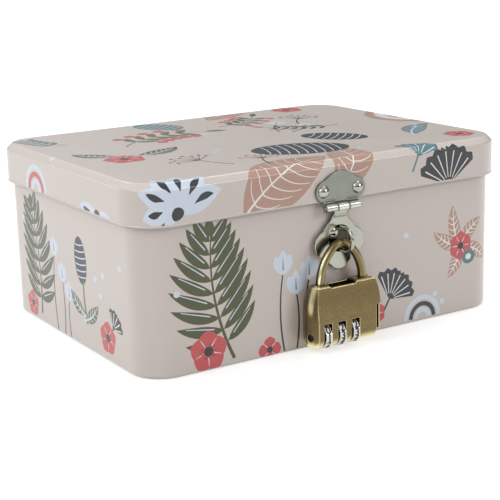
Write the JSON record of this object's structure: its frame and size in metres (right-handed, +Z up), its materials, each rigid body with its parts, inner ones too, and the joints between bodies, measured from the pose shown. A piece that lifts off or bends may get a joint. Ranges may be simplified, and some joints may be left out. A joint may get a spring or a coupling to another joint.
{
  "type": "lockable storage box",
  "caption": "Printed tinplate box with a slip-over hinged lid, a riveted hasp and staple, and a combination padlock hanging on it.",
  "frame": {"origin": "centre of the box's footprint on the surface it stands on", "axes": "+X right along the long front, -Y out of the front towards the padlock, +Z up"},
  "size_m": [0.1804, 0.1488, 0.076],
  "materials": {
    "printed_tin": "semi-gloss lacquer over a botanical print",
    "plain_tin": "bare tinplate, satin",
    "nickel": "nickel plate, bright",
    "steel": "plain steel",
    "antique_brass": "antique brass, satin with darker recesses",
    "dial_metal": "bright zinc with black digits",
    "black_steel": "blackened"
  },
  "bodies": {
    "box": {"tub_wall": "printed_tin", "base_panel": "plain_tin", "staple_plate": "nickel", "staple_backing": "nickel", "staple_loop": "nickel", "hinge_tub_leaf_left": "nickel", "hinge_tub_leaf_right": "nickel", "hinge_pin_left": "nickel", "hinge_pin_right": "nickel", "hinge_tub_rivets": "nickel"},
    "lid": {"lid_shell": "printed_tin", "hasp_plate": "nickel", "hasp_rivets": "nickel", "hasp_pin": "nickel", "hinge_lid_leaf_left": "nickel", "hinge_lid_leaf_right": "nickel", "hinge_lid_rivets": "nickel"},
    "hasp_leaf": {"hasp_leaf": "nickel"},
    "lock_case": {"lock_front_shell": "antique_brass", "lock_back_shell": "antique_brass", "dial_spindle": "steel", "spindle_spring": "steel", "detent_spring": "steel", "release_spring": "steel", "case_rivets": "antique_brass", "shackle_pivot_pin": "antique_brass"},
    "shackle": {"shackle": "antique_brass"},
    "dial_left": {"dial_left": "dial_metal"},
    "dial_middle": {"dial_middle": "dial_metal"},
    "dial_right": {"dial_right": "dial_metal"},
    "release": {"release_button": "antique_brass", "latch_plate": "steel"},
    "reset_pin": {"reset_pin": "black_steel"}
  },
  "joints": [
    {"name": "lid_hinge", "type": "hinge", "parent": "box", "child": "lid", "pos_m": [0, 0.0696, 0.0573], "axis": [-1, 0, 0], "range_deg": [0, 110]},
    {"name": "hasp_hinge", "type": "hinge", "parent": "lid", "child": "hasp_leaf", "pos_m": [0, -0.0696, 0.0573], "axis": [-1, 0, 0], "range_deg": [-2, 4]},
    {"name": "padlock_swing", "type": "hinge", "parent": "box", "child": "lock_case", "pos_m": [0, -0.07135, 0.04258], "axis": [-1, 0, 0], "range_deg": [0, 80]},
    {"name": "shackle_pivot", "type": "hinge", "parent": "lock_case", "child": "shackle", "pos_m": [0.0082, -0.07135, 0.0235], "axis": [0, 1, 0], "range_deg": [0, 90]},
    {"name": "dial_left_turn", "type": "hinge", "parent": "lock_case", "child": "dial_left", "pos_m": [-0.0125, -0.0727, 0.0068], "axis": [1, 0, 0], "continuous": true},
    {"name": "dial_middle_turn", "type": "hinge", "parent": "lock_case", "child": "dial_middle", "pos_m": [-0.0057, -0.0727, 0.0068], "axis": [1, 0, 0], "continuous": true},
    {"name": "dial_right_turn", "type": "hinge", "parent": "lock_case", "child": "dial_right", "pos_m": [0.0011, -0.0727, 0.0068], "axis": [1, 0, 0], "continuous": true},
    {"name": "release_press", "type": "slide", "parent": "lock_case", "child": "release", "axis": [-1, 0, 0], "range_m": [0, 0.0012], "stiffness_N_per_m": 300, "springref_m": -0.002},
    {"name": "reset_press", "type": "slide", "parent": "lock_case", "child": "reset_pin", "axis": [1, 0, 0], "range_m": [0, 0.0008]}
  ]
}
